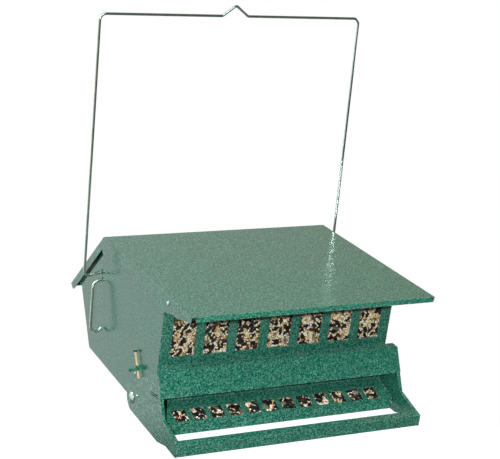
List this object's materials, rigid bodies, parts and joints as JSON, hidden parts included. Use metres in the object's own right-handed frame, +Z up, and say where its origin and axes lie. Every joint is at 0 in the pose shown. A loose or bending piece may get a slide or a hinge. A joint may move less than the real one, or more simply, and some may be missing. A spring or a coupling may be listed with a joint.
{
  "type": "hanging bird feeder",
  "caption": "Hanging hopper bird feeder in green sheet metal, with a hinged roof, a windowed front, a ported seed tray, a sprung shield and perch, and a wire bail.",
  "frame": {"origin": "underside of the bail's peak, where the feeder hangs", "axes": "+X to the feeder's right as a bird on the perch faces it, -Y to the front where the perch is, +Z up"},
  "size_m": [0.364, 0.4036, 0.5181],
  "materials": {
    "green_paint": "hammered gloss",
    "zinc": "bright zinc plate",
    "yellow_zinc": "pale yellow zinc plate",
    "clear_sheet": "clear"
  },
  "bodies": {
    "hopper": {"rear_wall": "green_paint", "floor_pan": "green_paint", "seed_slide": "green_paint", "window_panel": "green_paint", "window_pane": "clear_sheet", "port_panel": "green_paint", "bail": "zinc", "side_panel_left": "green_paint", "pane_channel_left": "green_paint", "hinge_rivet_left": "zinc", "pivot_screw_left": "zinc", "pivot_spacer_left": "zinc", "pivot_nut_left": "zinc", "counter_spring_left": "yellow_zinc", "side_panel_right": "green_paint", "pane_channel_right": "green_paint", "hinge_rivet_right": "zinc", "pivot_screw_right": "zinc", "pivot_spacer_right": "zinc", "pivot_nut_right": "zinc", "counter_spring_right": "yellow_zinc"},
    "roof": {"roof": "green_paint"},
    "shield_perch": {"shield": "green_paint", "perch_bar": "green_paint", "shield_arm_left": "green_paint", "shield_arm_right": "green_paint"}
  },
  "joints": [
    {"name": "roof_hinge", "type": "hinge", "parent": "hopper", "child": "roof", "pos_m": [0, -0.15084, -0.34288], "axis": [1, 0, 0], "range_deg": [0, 105]},
    {"name": "shield_perch_pivot", "type": "hinge", "parent": "hopper", "child": "shield_perch", "pos_m": [0, -0.04541, -0.47366], "axis": [1, 0, 0], "range_deg": [0, 18], "stiffness_Nm_per_rad": 1.2, "springref_deg": -22.92, "deforming": ["counter_spring_left", "counter_spring_right"]}
  ]
}
